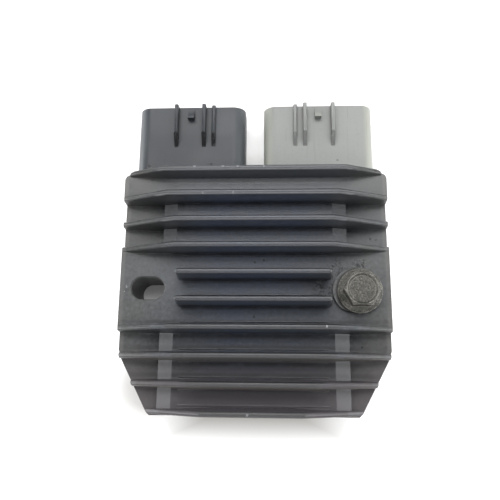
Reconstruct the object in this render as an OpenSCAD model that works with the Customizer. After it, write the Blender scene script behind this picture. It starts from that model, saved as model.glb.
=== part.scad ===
// Voltage regulator rectifier for a small engine: a die-cast finned heat sink with its electronics potted
// in the back, two plug sockets on the top edge, and a flange bolt and washer left in one mounting hole.
// Millimetres. +X right, +Y toward the sockets, +Z out of the fins. Every module draws its piece with x = 0
// and y = 0 at the middle of the casting and z = 0 on the back plane, and in_frame() then moves it so that
// the origin is under the middle of the whole unit.

/* [Casting] */
// Height of the middle floor, which carries the mounting ears, above the back plane
mid_floor_z = 20.2; // [19:0.1:22]
// How far the floor of the end pockets between the fins lies under the middle floor
pocket_depth = 3.6; // [2.5:0.1:4.5]
// Thickness of metal between a pocket's floor and the back cavity
pocket_roof_t = 3.6; // [3:0.1:4.4]
// Rise from the middle floor to the floor between the first and the second fin
top_rise = 1.3; // [0.6:0.1:2]
// Length along X of the middle floor between the end pockets
plateau_len = 59.2; // [50:0.2:62]
// Run along X of each ramp at the ends of the middle floor
ramp_run = 5.4; // [4:0.1:8]
// Drop of each ramp, below which it ends in a step down to the pocket
ramp_drop = 1.7; // [1:0.1:2.4]
// Width of each slanted top corner
top_corner_w = 4.8; // [3:0.1:7]
// Drop of each slanted top corner
top_corner_h = 2.3; // [1:0.1:3.5]
// Width of each cut bottom corner
bottom_corner_w = 11.2; // [8:0.1:14]
// Height of each cut bottom corner
bottom_corner_h = 19.8; // [16:0.1:23]
// Small break where two edges of the outline meet
edge_break = 1.2; // [0.8:0.1:1.6]

/* [Fins] */
// Distance from one fin to the next
fin_pitch = 9.9; // [9.5:0.05:10.5]
// Height of a fin's tip above the middle floor
fin_h = 9.8; // [8:0.1:12]
// Thickness of a fin at its tip
fin_tip_w = 2; // [1.8:0.1:2.4]
// Radius of a fin's rounded tip edges
fin_tip_r = 0.8; // [0.4:0.05:0.88]
// Draft of a fin's sides, in degrees
fin_draft = 5.5; // [3:0.25:6.5]
// Rise of the sloped ends of a long fin, in degrees
fin_slope = 24.7; // [22:0.1:30]
// Rise of the sloped ends of the last fin, which come down to the pockets' floor, in degrees
last_fin_slope = 32; // [28:0.1:38]
// How far under the middle floor the ends of the two fins before the last one come down
lower_fin_end_drop = 1; // [0:0.1:2]
// How much lower the tip of the first fin stands than the others
first_fin_drop = 1.2; // [0.5:0.1:2]
// How far the first fin's ends stand above the floor beside them
first_fin_end_rise = 0.9; // [0.4:0.1:1.4]
// Distance from the middle of the first or last fin to the edge of the casting
end_fin_inset = 1.45; // [1.3:0.05:1.8]
// Distance along X from the tips of the two short fins to the washer
short_fin_gap = 0.8; // [0.6:0.1:3]
// Radius of the cove at the foot of a fin
cove_r = 0.8; // [0.4:0.05:1]

/* [Mounting] */
// Width of the mounting slot
slot_w = 8.3; // [8:0.1:8.6]
// Length of the mounting slot, end to end
slot_len = 12.5; // [11:0.1:14]
// Metal between the slot and the side of the casting
slot_side_wall = 4.35; // [3.5:0.05:6]
// Diameter of the round mounting hole
hole_d = 8.5; // [8.3:0.1:9]
// How far the round hole stands below the slot's middle line
hole_drop = 1.2; // [0:0.1:2]
// Chamfer round the front edge of the slot and the hole
mouth_chamfer = 0.3; // [0.2:0.05:0.5]

/* [Back cavity] */
// Thickness of the casting's walls round the cavity
wall_t = 3.2; // [2.6:0.1:4]
// Thickness of metal between the slot and the cavity
slot_wall = 4.2; // [3.4:0.1:5]
// Thickness of metal between the round hole and the cavity
hole_wall = 5.2; // [3.4:0.1:6]
// Height along Y of the two solid mounting ears
ear_h = 23; // [20:0.5:26]
// How far the potting stays below the back plane
potting_recess = 0.8; // [0.4:0.1:1]

/* [Sockets] */
// Height of a socket's shroud along Z
socket_h = 17; // [16:0.1:17.6]
// Height of the shrouds above the back plane
socket_back_gap = 0.2; // [0.1:0.1:0.6]
// Length of a socket that stands out of the casting
socket_len = 28.8; // [24:0.5:32]
// Gap between the two sockets
socket_gap = 7.5; // [6:0.1:9]
// Place along X of the middle between the two sockets
socket_shift = -0.35; // [-0.8:0.05:0.8]
// Least distance from a shroud to the side of the casting
socket_inset = 2.6; // [2:0.1:4]
// How much wider a shroud is than its neck, at each side
shroud_step = 2.8; // [2.5:0.1:3.4]
// Corner radius of a shroud
socket_r = 5.2; // [4:0.1:6]
// Wall thickness of a shroud
socket_wall = 1.9; // [1.5:0.1:2.2]
// Depth of the socket from its rim to its floor
socket_depth = 22.5; // [19:0.5:23]
// Width of the neck beside the outer blades; the neck passes through the casting's wall
neck_wall = 2.55; // [1.5:0.05:3]
// Height of the neck along Z
neck_h = 7.6; // [6.6:0.1:8]
// How far the neck reaches into the cavity
neck_reach = 3; // [2:0.1:4]
// Clearance round the neck in the casting's wall
neck_fit = 0.1; // [0.05:0.01:0.2]
// How far the flange at a socket's foot stands out beyond the shroud, at each side
foot_flange_w = 0.7; // [0.3:0.1:1.2]
// Thickness of that flange
foot_flange_t = 1.8; // [1:0.1:3]
// Width of a keying rib
rib_w = 1.5; // [1.3:0.1:1.8]
// Radius of a keying rib's rounded crest
rib_crown_r = 0.6; // [0.3:0.05:0.64]
// Height of the two taller keying ribs above the shroud
rib_h = 3.3; // [2:0.1:3.6]
// Height of the rib nearest the middle of the part
near_rib_h = 1.9; // [1:0.1:3]
// Distance from the rim to the foot of a rib's sloped end
rib_len = 17.2; // [14:0.1:20]
// Length of the sloped end of the two taller ribs
rib_slope_len = 5.3; // [4:0.1:7]
// Length of the sloped end of the rib nearest the middle of the part
near_rib_slope_len = 3.4; // [2:0.1:4.5]
// Places of the keying ribs, toward the middle of the part from a socket's own middle
rib_places = [-5.8, 5.3, 9.15];
// Width of the latch wedge
latch_w = 2.6; // [2:0.1:3.5]
// Height of the latch wedge
latch_h = 2.4; // [1.5:0.1:2.8]
// Length of the latch wedge from the rim
latch_len = 5.5; // [4:0.1:7]
// Distance from the rim to where the latch wedge starts to rise
latch_start = 1; // [0.4:0.1:2]

/* [Blades] */
// Width of a terminal blade
blade_w = 9.5; // [8:0.1:10]
// Thickness of a terminal blade
blade_t = 1.2; // [0.8:0.1:1.4]
// Distance from one blade to the next
blade_pitch = 11.7; // [11:0.1:12.5]
// How far a blade's end stays below the rim
blade_recess = 5; // [3:0.1:7]
// How far a blade reaches past the neck, over the circuit board
blade_reach = 9; // [6:0.5:10]
// Length of the bevel on a blade's end
blade_bevel = 1.5; // [1:0.1:2]

/* [Electronics] */
// Thickness of the circuit board
board_t = 1.6; // [1.2:0.1:1.8]
// Gap between the circuit board and the cavity's walls
board_gap = 0.8; // [0.4:0.1:1.5]
// Thickness of the insulating sheet between the power devices and the casting
sheet_t = 0.3; // [0.2:0.05:0.4]
// How far the insulating sheet reaches past the power devices
sheet_margin = 1.2; // [0.5:0.1:1.5]
// Width of a power device
device_w = 15.4; // [13:0.2:16]
// Length of a power device's body
device_len = 18; // [16:0.5:19]
// Gap along X between two power devices
device_gap = 3.4; // [2.6:0.1:3.6]
// Gap along Y between the two rows of power devices, beyond the leads of the upper row
device_row_gap = 3.6; // [2:0.1:4.4]
// Gap between the outer power devices and the metal round the mounting holes
device_side_gap = 2.95; // [2:0.05:4]
// Place along Y of the middle of the power devices
device_y = 2.5; // [1:0.5:3]
// Length of a power device's leads
lead_len = 3.4; // [2.5:0.1:3.8]
// Width of a power device's lead
lead_w = 1.3; // [1:0.1:2]
// Distance from one lead to the next
lead_pitch = 5.1; // [4:0.1:5.6]
// Thickness of a power device's lead
lead_t = 0.6; // [0.4:0.1:0.8]
// Diameter of a capacitor
capacitor_d = 6.3; // [5:0.1:7]
// Clearance between the potting and the circuit board or the insulating sheet
potting_fit = 0.01; // [0.01:0.01:0.05]
// Thickness of potting over the capacitors
capacitor_cover = 0.7; // [0.4:0.1:1.5]
// Distance between the two capacitors
capacitor_pitch = 17; // [14:0.5:20]
// Size of the control chip
chip_size = [10.2, 7.4, 2.4];
// Number of leads on each side of the control chip
chip_leads = 8; // [6:1:10]
// Distance from one of the chip's leads to the next
chip_lead_pitch = 1.15; // [0.9:0.05:1.2]
// Size of one of the control chip's leads
chip_lead_size = [0.5, 1.5, 0.4];
// Size of a chip resistor
resistor_size = [3.2, 1.6, 0.6];
// Distance from one chip resistor to the next, along X and between the two rows
resistor_pitch = 6.4; // [4:0.1:7]
// Size of a diode
diode_size = [2.6, 4.4, 2.2];
// Distance from one diode to the next
diode_pitch = 5.2; // [4:0.1:6]

/* [Bolt and washer] */
// Diameter of the bolt's shank
bolt_d = 7.9; // [7.5:0.05:8]
// Length of the bolt under its head
bolt_len = 20; // [16:0.5:21]
// Chamfer on the bolt's end
bolt_chamfer = 0.9; // [0.4:0.1:1.2]
// Width across the flats of the bolt's head
bolt_af = 11.6; // [10:0.1:12]
// Height of the bolt's head with its flange
bolt_head_h = 7.4; // [6:0.1:8]
// How far the round crown of the head stays inside the flats
crown_inset = 0.15; // [0.1:0.05:0.5]
// How far the flange stands out beyond the flats
flange_w = 2.35; // [2:0.05:3.2]
// Thickness of the flange at its edge
flange_edge_t = 1; // [0.8:0.1:1.5]
// Thickness of the flange where it meets the hexagon
flange_root_t = 2.1; // [1.8:0.1:2.6]
// Width of the rim round the dish in the top of the head
dish_rim_w = 0.2; // [0.1:0.05:1]
// Depth of the dish
dish_depth = 0.8; // [0.3:0.1:1]
// How far the washer has slipped to one side of the bolt
washer_slip = 1.8; // [0:0.1:2]
// Direction of that slip, in degrees
washer_slip_turn = 170; // [0:1:359]
// Play left between the slipped washer and the bolt
washer_play = 0.1; // [0.05:0.05:0.4]
// Width of the washer's ring
washer_ring_w = 2.35; // [2:0.05:4]
// Thickness of the washer
washer_t = 1.5; // [1:0.1:2]

/* [Hidden] */

eps = 0.01;
sink = 1;
fin_count = 10;
arc_steps = 4;
round_fn = 64;

half_h = (fin_count - 1) / 2 * fin_pitch + end_fin_inset;
low_floor_z = mid_floor_z - pocket_depth;
cavity_depth = low_floor_z - pocket_roof_t;
top_floor_z = mid_floor_z + top_rise;
tip_z = mid_floor_z + fin_h;
ear_half_h = 1.5 * fin_pitch;
long_fins = [1, 2, 3, 4, 7, 8, 9, 10];
short_fins = [5, 6];
pocket_gaps = [[2, 4], [7, 10]];

device_pitch_x = device_w + device_gap;
device_pitch_y = device_len + lead_len + device_row_gap;
ear_x = device_pitch_x + device_w / 2 + device_side_gap;
slot_x = -ear_x - slot_wall - slot_len / 2;
hole_x = ear_x + hole_wall + hole_d / 2;
cavity_top_y = half_h - wall_t;

neck_w = 2 * blade_pitch + blade_w + 2 * neck_wall;
socket_w = neck_w + 2 * shroud_step;
socket_x = (socket_gap + socket_w) / 2;
socket_z = socket_back_gap + socket_h / 2;
socket_front_z = socket_back_gap + socket_h;
half_w = max(
  slot_len / 2 - slot_x + slot_side_wall,
  socket_x + socket_w / 2 + abs(socket_shift) + socket_inset
);
rim_y = half_h + socket_len;
neck_end_y = cavity_top_y - neck_reach;
blade_tip_y = rim_y - blade_recess;
blade_end_y = neck_end_y - blade_reach;

board_top_z = socket_z - blade_t / 2;
board_back_z = board_top_z - board_t;
sheet_z = cavity_depth - sheet_t;
capacitor_h = board_back_z - potting_recess - capacitor_cover;

washer_hole_d = bolt_d + 2 * washer_slip + 2 * washer_play;
washer_d = washer_hole_d + 2 * washer_ring_w;
washer_x = hole_x + washer_slip * cos(washer_slip_turn);
washer_y = -hole_drop + washer_slip * sin(washer_slip_turn);
washer_top_z = mid_floor_z + washer_t;
short_fin_len = 2 * (washer_x - washer_d / 2 - short_fin_gap);

function fin_y(k) = ((fin_count + 1) / 2 - k) * fin_pitch;

// Middle of the socket on the side given
function socket_mid(side) = side * socket_x + socket_shift;

// Half of the outline, from the bottom to the top, as pairs of a height and a half width
outline_side = [
  [-half_h, half_w - bottom_corner_w - edge_break],
  [-half_h + edge_break, half_w - bottom_corner_w],
  [-half_h + bottom_corner_h, half_w - edge_break],
  [-half_h + bottom_corner_h + 3 * edge_break, half_w],
  [half_h - top_corner_h - edge_break, half_w],
  [half_h - top_corner_h, half_w - edge_break / 2],
  [half_h, half_w - top_corner_w]
];

// Half width of the casting at a height y
function outline_x(y) = lookup(y, outline_side);

// Tip of a fin: a crest at the origin that widens downward with the draft, to the given depth
function crest_profile(depth) =
  let (tip = fin_tip_w / 2, foot = tip + depth * tan(fin_draft))
  let (right = [for (i = [0:arc_steps]) let (a = 90 * i / arc_steps)
    [tip - fin_tip_r + fin_tip_r * sin(a), -fin_tip_r + fin_tip_r * cos(a)]])
  concat([[-foot, -depth]],
    [for (i = [arc_steps:-1:0]) [-right[i][0], right[i][1]]],
    right, [[foot, -depth]]);

// Moves a piece into the unit's own frame
module in_frame() {
  translate([0, (half_h - rim_y) / 2, 0]) children();
}

// Turns a piece over and hangs it from the height z
module hang(z) {
  translate([0, 0, z]) mirror([0, 0, 1]) children();
}

module outline_prism(height) {
  side = [for (p = outline_side) [p[1], p[0]]];
  other = [for (i = [len(side) - 1:-1:0]) [-side[i][0], side[i][1]]];
  linear_extrude(height) polygon(concat(side, other));
}

// Prism with its crest on the X axis
module crest_prism(length, depth) {
  rotate([90, 0, 90]) translate([0, 0, -length / 2])
    linear_extrude(length) polygon(crest_profile(depth));
}

// Long fin: level in the middle and sloping down to the outline at both ends
module long_fin(k) {
  y = fin_y(k);
  tip = k == 1 ? tip_z - first_fin_drop : tip_z;
  end =
    k == 1 ? top_floor_z + first_fin_end_rise :
    k == 2 ? top_floor_z :
    k < fin_count - 2 ? mid_floor_z :
    k < fin_count ? mid_floor_z - lower_fin_end_drop : low_floor_z;
  slope = k < fin_count ? fin_slope : last_fin_slope;
  reach = outline_x(y);
  translate([0, y, 0]) intersection() {
    translate([0, 0, tip]) crest_prism(2 * reach, tip - low_floor_z + sink);
    translate([-reach, 0, end]) rotate([0, -slope, 0]) crest_prism(6 * half_w, 2 * half_w);
    translate([reach, 0, end]) rotate([0, slope, 0]) crest_prism(6 * half_w, 2 * half_w);
  }
}

// Short fin with rounded ends
module short_fin(k) {
  depth = fin_h + sink;
  straight = short_fin_len - fin_tip_w;
  half_profile = [for (p = crest_profile(depth)) if (p[0] > 0) p];
  translate([0, fin_y(k), tip_z]) {
    crest_prism(straight, depth);
    for (side = [-1, 1]) translate([side * straight / 2, 0, 0])
      rotate_extrude($fn = round_fn) polygon(concat([[0, -depth], [0, 0]], half_profile));
  }
}

// Cove along the foot of a fin, on the side given
module cove(k, side, length) {
  foot = fin_tip_w / 2 + fin_h * tan(fin_draft);
  corner = [for (i = [0:arc_steps]) let (a = 270 - 90 * i / arc_steps)
    [cove_r * (1 + cos(a)), cove_r * (1 + sin(a))]];
  outline = concat([[-cove_r, -cove_r], [cove_r, -cove_r]], corner, [[-cove_r, cove_r]]);
  translate([0, fin_y(k), mid_floor_z]) mirror([0, side < 0 ? 1 : 0, 0]) translate([-length / 2, foot, 0])
    rotate([90, 0, 90]) linear_extrude(length) polygon(outline);
}

// Floor between the fins from k_top to k_bottom: raised in the middle, with a ramp and a step down to
// each end pocket
module plateau(k_top, k_bottom) {
  inner = plateau_len / 2;
  outer = inner + ramp_run;
  section = [
    [-outer, low_floor_z - sink], [outer, low_floor_z - sink], [outer, mid_floor_z - ramp_drop],
    [inner, mid_floor_z], [-inner, mid_floor_z], [-outer, mid_floor_z - ramp_drop]
  ];
  translate([0, fin_y(k_top), 0]) rotate([90, 0, 0])
    linear_extrude(fin_y(k_top) - fin_y(k_bottom)) polygon(section);
}

// Part of the casting's outline between two heights, up to a floor
module floor_band(y_low, y_high, height) {
  intersection() {
    outline_prism(height);
    translate([-2 * half_w, y_low, -sink]) cube([4 * half_w, y_high - y_low, height + 2 * sink]);
  }
}

// Back cavity in plan, drawn in from the casting's walls by the inset, below the height y_top
module cavity_plan(inset, y_top) {
  side = half_w - wall_t - inset;
  bottom = -half_h + wall_t + inset;
  cut = half_w - bottom_corner_w - wall_t / 2 - inset;
  ear = ear_h / 2 + inset;
  ear_side = ear_x - inset;
  polygon([
    [cut, bottom], [side, bottom + bottom_corner_h - wall_t / 2], [side, -ear], [ear_side, -ear],
    [ear_side, ear],
    [side, ear], [side, y_top], [-side, y_top],
    [-side, ear], [-ear_side, ear], [-ear_side, -ear], [-side, -ear],
    [-side, bottom + bottom_corner_h - wall_t / 2], [-cut, bottom]
  ]);
}

module slot_cut(width, length, z_low, z_high) {
  for (side = [-1, 1]) translate([side * (length - width) / 2, 0, z_low])
    cylinder(d = width, h = z_high - z_low, $fn = round_fn);
  translate([-(length - width) / 2, -width / 2, z_low]) cube([length - width, width, z_high - z_low]);
}

// Chamfer round the front edge of a slot; a slot no longer than it is wide is a round hole
module mouth_cut(width, length) {
  step = mouth_chamfer + sink;
  straight = (length - width) / 2;
  wide = width / 2 + step;
  for (side = [-1, 1]) translate([side * straight, 0, mid_floor_z - mouth_chamfer])
    cylinder(r1 = width / 2, r2 = wide, h = step, $fn = round_fn);
  if (straight > eps)
    translate([-straight, 0, mid_floor_z - mouth_chamfer]) rotate([90, 0, 90])
      linear_extrude(2 * straight)
        polygon([[-width / 2, 0], [width / 2, 0], [wide, step], [-wide, step]]);
}

// Neck of the socket on the side given, or the hole for it, with the clearance given all round
module neck_block(side, fit, y_low, y_high) {
  translate([socket_mid(side) - neck_w / 2 - fit, y_low, socket_z - neck_h / 2 - fit])
    cube([neck_w + 2 * fit, y_high - y_low, neck_h + 2 * fit]);
}

module heat_sink() {
  color([0.21, 0.22, 0.24]) difference() {
    union() {
      outline_prism(low_floor_z);
      floor_band(fin_y(2), half_h, top_floor_z);
      floor_band(-ear_half_h, ear_half_h, mid_floor_z);
      intersection() {
        outline_prism(tip_z + sink);
        union() {
          for (gap = pocket_gaps) plateau(gap[0], gap[1]);
          for (k = long_fins) long_fin(k);
        }
      }
      for (k = short_fins) short_fin(k);
      for (k = [2:fin_count], side = [-1, 1]) if ((k > 2 || side < 0) && (k < fin_count || side > 0))
        cove(k, side, min(plateau_len, short_fin_len - fin_tip_w));
    }
    translate([0, 0, -sink]) linear_extrude(cavity_depth + sink) cavity_plan(0, cavity_top_y);
    translate([slot_x, 0, 0]) {
      slot_cut(slot_w, slot_len, -sink, mid_floor_z + sink);
      mouth_cut(slot_w, slot_len);
    }
    translate([hole_x, -hole_drop, 0]) {
      translate([0, 0, -sink]) cylinder(d = hole_d, h = mid_floor_z + 2 * sink, $fn = round_fn);
      mouth_cut(hole_d, hole_d);
    }
    for (side = [-1, 1]) neck_block(side, neck_fit, cavity_top_y - sink, half_h + sink);
  }
}

module round_rect(w, h, r) {
  square([w - 2 * r, h], center = true);
  square([w, h - 2 * r], center = true);
  for (x = [-1, 1], y = [-1, 1]) translate([x * (w / 2 - r), y * (h / 2 - r)]) circle(r = r, $fn = round_fn);
}

// Upright slab along Y, from a side view given as points: distance below the rim, height over the shroud
module rim_slab(width, side_view) {
  translate([-width / 2, rim_y, socket_front_z]) rotate([90, 0, 90]) linear_extrude(width)
    polygon([for (p = side_view) [-p[0], p[1]]]);
}

// Keying rib with a rounded crest and a sloped end
module keying_rib(height, slope_len) {
  intersection() {
    rim_slab(rib_w, [
      [0, -sink], [rib_len, -sink], [rib_len, 0], [rib_len - slope_len, height], [0, height]
    ]);
    translate([0, rim_y, socket_front_z]) rotate([90, 0, 0]) linear_extrude(rib_len)
      round_rect(rib_w, 2 * height, rib_crown_r);
  }
}

// Socket housing; side is -1 for the left socket and 1 for the right one
module socket_shell(side) {
  inner_r = socket_r - socket_wall;
  translate([socket_mid(side), 0, 0]) difference() {
    union() {
      translate([0, rim_y, socket_z]) rotate([90, 0, 0])
        linear_extrude(socket_len) round_rect(socket_w, socket_h, socket_r);
      translate([-socket_mid(side), 0, 0]) neck_block(side, 0, neck_end_y, half_h + sink);
      translate([0, half_h + foot_flange_t, socket_z]) rotate([90, 0, 0]) linear_extrude(foot_flange_t)
        round_rect(socket_w + 2 * foot_flange_w, socket_h, socket_r);
      for (i = [0:len(rib_places) - 1]) translate([-side * rib_places[i], 0, 0]) {
        if (i < len(rib_places) - 1) keying_rib(rib_h, rib_slope_len);
        else keying_rib(near_rib_h, near_rib_slope_len);
      }
      rim_slab(latch_w, [[latch_start, -sink], [latch_len, -sink], [latch_len, latch_h], [latch_start, 0]]);
    }
    translate([0, rim_y + sink, socket_z]) rotate([90, 0, 0]) linear_extrude(socket_depth + sink)
      round_rect(socket_w - 2 * socket_wall, socket_h - 2 * socket_wall, inner_r);
    for (i = [-1:1]) translate([i * blade_pitch, 0, 0]) blade_block();
  }
}

// Full-length blade without its bevelled end, which is also the shape of its seat in the socket
module blade_block() {
  translate([-blade_w / 2, blade_end_y, socket_z - blade_t / 2])
    cube([blade_w, blade_tip_y - blade_bevel - blade_end_y, blade_t]);
}

module blade(side, i) {
  thin = blade_t / 4;
  end = [[0, -blade_t / 2], [blade_bevel, -thin], [blade_bevel, thin], [0, blade_t / 2]];
  color([0.78, 0.77, 0.72]) translate([socket_mid(side) + i * blade_pitch, 0, 0]) {
    blade_block();
    translate([-blade_w / 2, blade_tip_y - blade_bevel, socket_z])
      rotate([90, 0, 90]) linear_extrude(blade_w) polygon(end);
  }
}

module dc_socket() { color([0.25, 0.25, 0.26]) socket_shell(-1); }
module ac_socket() { color([0.66, 0.66, 0.64]) socket_shell(1); }

// The board, or the space for it in the potting with the clearance given all round
module circuit_board(fit = 0) {
  color([0.10, 0.30, 0.18]) hang(board_top_z + fit) linear_extrude(board_t + 2 * fit)
    cavity_plan(board_gap - fit, neck_end_y - board_gap + fit);
}

// The sheet, or the space for it in the potting with the clearance given all round
module insulating_sheet(fit = 0) {
  w = 2 * (device_pitch_x + sheet_margin + fit) + device_w;
  h = device_pitch_y + device_len + 2 * (sheet_margin + fit);
  color([0.80, 0.80, 0.76])
    hang(cavity_depth + fit) translate([-w / 2, device_y - h / 2, 0]) cube([w, h, sheet_t + 2 * fit]);
}

// Power device in its moulded pack, on the board, with three leads on its lower side
module power_device(i) {
  column = i % 3 - 1;
  row = i < 3 ? 0.5 : -0.5;
  color([0.12, 0.12, 0.13])
    translate([column * device_pitch_x, device_y + row * device_pitch_y, board_top_z]) {
      translate([-device_w / 2, -device_len / 2, 0]) cube([device_w, device_len, sheet_z - board_top_z]);
      for (n = [-1:1]) translate([n * lead_pitch - lead_w / 2, -device_len / 2 - lead_len, 0])
        cube([lead_w, lead_len + sink, lead_t]);
    }
}

// Block on the back of the board, standing toward the back plane
module board_block(x, y, size) {
  hang(board_back_z) translate([x - size[0] / 2, y - size[1] / 2, 0]) cube(size);
}

chip_y = device_y + device_pitch_y / 2;
capacitor_y = device_y - device_pitch_y / 2;

module control_chip() {
  lead_size = [chip_lead_size[0], chip_size[1] + 2 * chip_lead_size[1], chip_lead_size[2]];
  color([0.10, 0.10, 0.11]) {
    board_block(0, chip_y, chip_size);
    for (n = [0:chip_leads - 1])
      board_block((n - (chip_leads - 1) / 2) * chip_lead_pitch, chip_y, lead_size);
  }
}

module capacitor(side) {
  color([0.72, 0.73, 0.75]) hang(board_back_z) translate([side * capacitor_pitch / 2, capacitor_y, 0])
    cylinder(d = capacitor_d, h = capacitor_h, $fn = round_fn);
}

module chip_resistors() {
  color([0.15, 0.14, 0.13]) for (row = [-1, 1], n = [-1.5:1:1.5])
    board_block(n * resistor_pitch, device_y + row * resistor_pitch / 2, resistor_size);
}

module diodes() {
  color([0.18, 0.18, 0.19]) for (side = [-1, 1], n = [1:3])
    board_block(side * (chip_size[0] / 2 + n * diode_pitch), chip_y, diode_size);
}

// Everything that the potting surrounds
module potted_pieces() {
  circuit_board(potting_fit);
  insulating_sheet(potting_fit);
  for (i = [0:5]) power_device(i);
  control_chip();
  for (side = [-1, 1]) capacitor(side);
  chip_resistors();
  diodes();
  for (side = [-1, 1]) {
    for (i = [-1:1]) blade(side, i);
    neck_block(side, 0, neck_end_y, cavity_top_y + sink);
  }
}

module potting() {
  color([0.13, 0.13, 0.14]) difference() {
    hang(cavity_depth) linear_extrude(cavity_depth - potting_recess)
      cavity_plan(0, cavity_top_y);
    potted_pieces();
  }
}

module mounting_bolt() {
  shank_r = bolt_d / 2;
  flat_r = bolt_af / 2;
  flange_r = flat_r + flange_w;
  corner_r = flat_r / cos(30);
  crown_r = flat_r - crown_inset;
  dish_r = crown_r - dish_rim_w;
  crown_drop = (corner_r - crown_r) * tan(30);
  color([0.40, 0.39, 0.34]) translate([hole_x, -hole_drop, washer_top_z]) difference() {
    union() {
      rotate_extrude($fn = round_fn) polygon([
        [0, -bolt_len], [shank_r - bolt_chamfer, -bolt_len], [shank_r, -bolt_len + bolt_chamfer],
        [shank_r, 0], [flange_r, 0], [flange_r, flange_edge_t], [flat_r, flange_root_t], [0, flange_root_t]
      ]);
      intersection() {
        cylinder(r = corner_r, h = bolt_head_h, $fn = 6);
        rotate_extrude($fn = round_fn) polygon([
          [0, 0], [corner_r + sink, 0], [corner_r + sink, bolt_head_h - crown_drop - sink * tan(30)],
          [crown_r, bolt_head_h], [0, bolt_head_h]
        ]);
      }
    }
    translate([0, 0, bolt_head_h - dish_depth])
      cylinder(r1 = dish_r - dish_depth, r2 = dish_r + dish_depth, h = 2 * dish_depth, $fn = round_fn);
  }
}

module washer() {
  color([0.45, 0.46, 0.46]) translate([washer_x, washer_y, mid_floor_z]) difference() {
    cylinder(d = washer_d, h = washer_t, $fn = round_fn);
    translate([0, 0, -sink]) cylinder(d = washer_hole_d, h = washer_t + 2 * sink, $fn = round_fn);
  }
}

in_frame() heat_sink();
in_frame() dc_socket();
in_frame() ac_socket();
in_frame() blade(-1, -1);  // dc_blade_1
in_frame() blade(-1, 0);  // dc_blade_2
in_frame() blade(-1, 1);  // dc_blade_3
in_frame() blade(1, -1);  // ac_blade_1
in_frame() blade(1, 0);  // ac_blade_2
in_frame() blade(1, 1);  // ac_blade_3
in_frame() circuit_board();
in_frame() insulating_sheet();
in_frame() power_device(0);  // power_device_1
in_frame() power_device(1);  // power_device_2
in_frame() power_device(2);  // power_device_3
in_frame() power_device(3);  // power_device_4
in_frame() power_device(4);  // power_device_5
in_frame() power_device(5);  // power_device_6
in_frame() control_chip();
in_frame() capacitor(-1);  // capacitor_1
in_frame() capacitor(1);  // capacitor_2
in_frame() chip_resistors();
in_frame() diodes();
in_frame() potting();
in_frame() mounting_bolt();
in_frame() washer();
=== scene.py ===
# Voltage regulator rectifier: a finned die-cast casting with two plug sockets, a flange bolt and a washer
import math

import bmesh
import bpy
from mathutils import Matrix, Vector


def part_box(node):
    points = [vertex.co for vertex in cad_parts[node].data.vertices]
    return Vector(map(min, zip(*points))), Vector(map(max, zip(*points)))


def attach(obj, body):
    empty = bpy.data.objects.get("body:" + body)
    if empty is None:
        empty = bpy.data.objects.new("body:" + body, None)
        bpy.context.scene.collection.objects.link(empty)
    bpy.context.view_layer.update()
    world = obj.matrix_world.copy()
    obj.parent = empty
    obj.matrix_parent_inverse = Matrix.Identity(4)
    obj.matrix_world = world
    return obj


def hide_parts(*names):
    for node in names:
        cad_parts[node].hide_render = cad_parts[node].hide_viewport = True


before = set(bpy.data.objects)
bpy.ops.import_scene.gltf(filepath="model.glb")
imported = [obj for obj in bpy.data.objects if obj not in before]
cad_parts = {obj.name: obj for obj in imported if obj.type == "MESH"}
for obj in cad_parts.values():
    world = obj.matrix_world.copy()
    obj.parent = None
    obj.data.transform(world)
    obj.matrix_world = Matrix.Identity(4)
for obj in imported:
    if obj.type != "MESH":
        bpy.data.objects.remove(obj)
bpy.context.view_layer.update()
print("frame loaded")

mm = 0.001
body = "root"

# where things are in the frame: the middle of the casting lies this far below the middle of the whole unit
castingLow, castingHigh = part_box("heat_sink")
boltLow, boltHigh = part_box("mounting_bolt")
castingY = (castingLow.y + castingHigh.y) / 2
boltAxis = ((boltLow.x + boltHigh.x) / 2, (boltLow.y + boltHigh.y) / 2)
flangeRadius = (boltHigh.x - boltLow.x) / 2
floorZ = castingLow.z

cameraSettings = {
    "lens": 39.3,  # mm on a 36 mm sensor
    "place": (8.23 * mm, castingY - 29.7 * mm, 221.3 * mm),
    "turn": (12.426, 2.665, 0.5085),  # degrees
}

lightSettings = {
    "worldColor": "#eef2f6",
    "worldStrength": 0.12,
    "floorColor": "#d6d6d6",
    "shadeColor": "#bab8b4",  # where the part keeps the light off
    "floorGlow": 0.56,  # seen by the camera, so that the background is white
    "bounce": 0.5,  # share of the glow that lights the part's walls
    # the soft shadow below the part: it is full over the first half width, gone at the second, and this long
    "shadowBelow": (14 * mm, 46 * mm, 15 * mm),
    "shadowAbove": (9 * mm, 18 * mm),  # where the fainter shadow at the upper edge starts to fade, and its end
    "shadowCorner": (-44 * mm, -38 * mm, 5 * mm, 19 * mm),  # a faint one at the lower left: middle and radii
    "underGlow": (0.14, 0.42),  # share of the glow left under the part, at the top and the bottom of the slot
    "farGlow": (0.14, 0.7, 2.6),  # the glow grows by this much between these distances from the middle
    "floorSize": 4.0,
    # name: place in metres, size in metres, power in watts
    "lamps": {
        "windowLight": ((0.0, 0.47, 0.7), (0.9, 0.44), 7.0),
        "highLight": ((0.0, 0.33, 0.8), (0.9, 0.4), 2.8),
        "frontLight": ((0.0, -0.6, 0.55), (0.9, 0.3), 2.6),
        "leftLight": ((-0.64, -0.14, 0.46), (0.32, 0.5), 2.5),
        "rightLight": ((0.64, -0.14, 0.46), (0.32, 0.5), 3.0),
        # these two light the walls and roundings that face sideways
        "lowLeftLight": ((-0.9, 0.05, 0.085), (0.5, 0.15), 5.8),
        "lowRightLight": ((0.9, 0.05, 0.085), (0.5, 0.15), 5.4),
    },
}


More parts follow.
